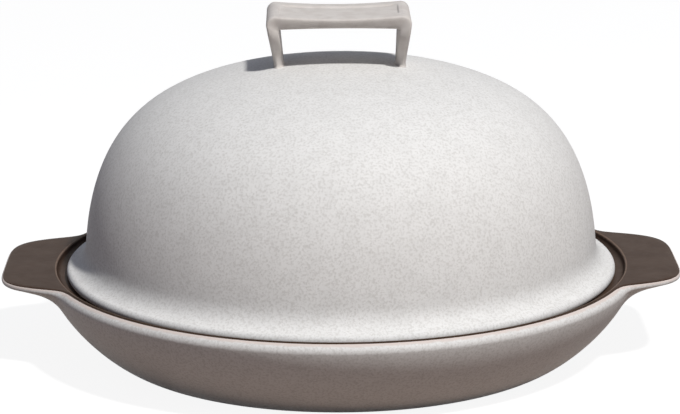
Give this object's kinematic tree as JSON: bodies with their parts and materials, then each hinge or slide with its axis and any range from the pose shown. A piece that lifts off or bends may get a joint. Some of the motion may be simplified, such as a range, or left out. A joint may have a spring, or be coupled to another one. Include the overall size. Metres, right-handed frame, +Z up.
{
  "type": "bread cloche",
  "caption": "Stoneware bread cloche: a shallow round dish with flat tab handles on its rim, and a tall domed lid with a strap handle that lifts off.",
  "frame": {"origin": "middle of the foot, on the surface that the dish stands on", "axes": "+X from the left tab handle to the right one, +Y from the front to the back, +Z up along the axis of the dish and the dome"},
  "size_m": [0.3448, 0.3016, 0.176],
  "materials": {
    "dark_glaze": "satin",
    "pale_glaze": "matte, finely speckled",
    "strap_glaze": "satin"
  },
  "bodies": {
    "base": {"dish": "pale_glaze", "liner_glaze": "dark_glaze", "left_tab_handle": "pale_glaze", "right_tab_handle": "pale_glaze", "left_tab_glaze": "dark_glaze", "right_tab_glaze": "dark_glaze"},
    "lid": {"dome": "pale_glaze", "strap_handle": "strap_glaze"}
  },
  "joints": [
    {"name": "lid_lift", "type": "slide", "parent": "base", "child": "lid", "axis": [0, 0, 1], "range_m": [0, 0.2]}
  ]
}
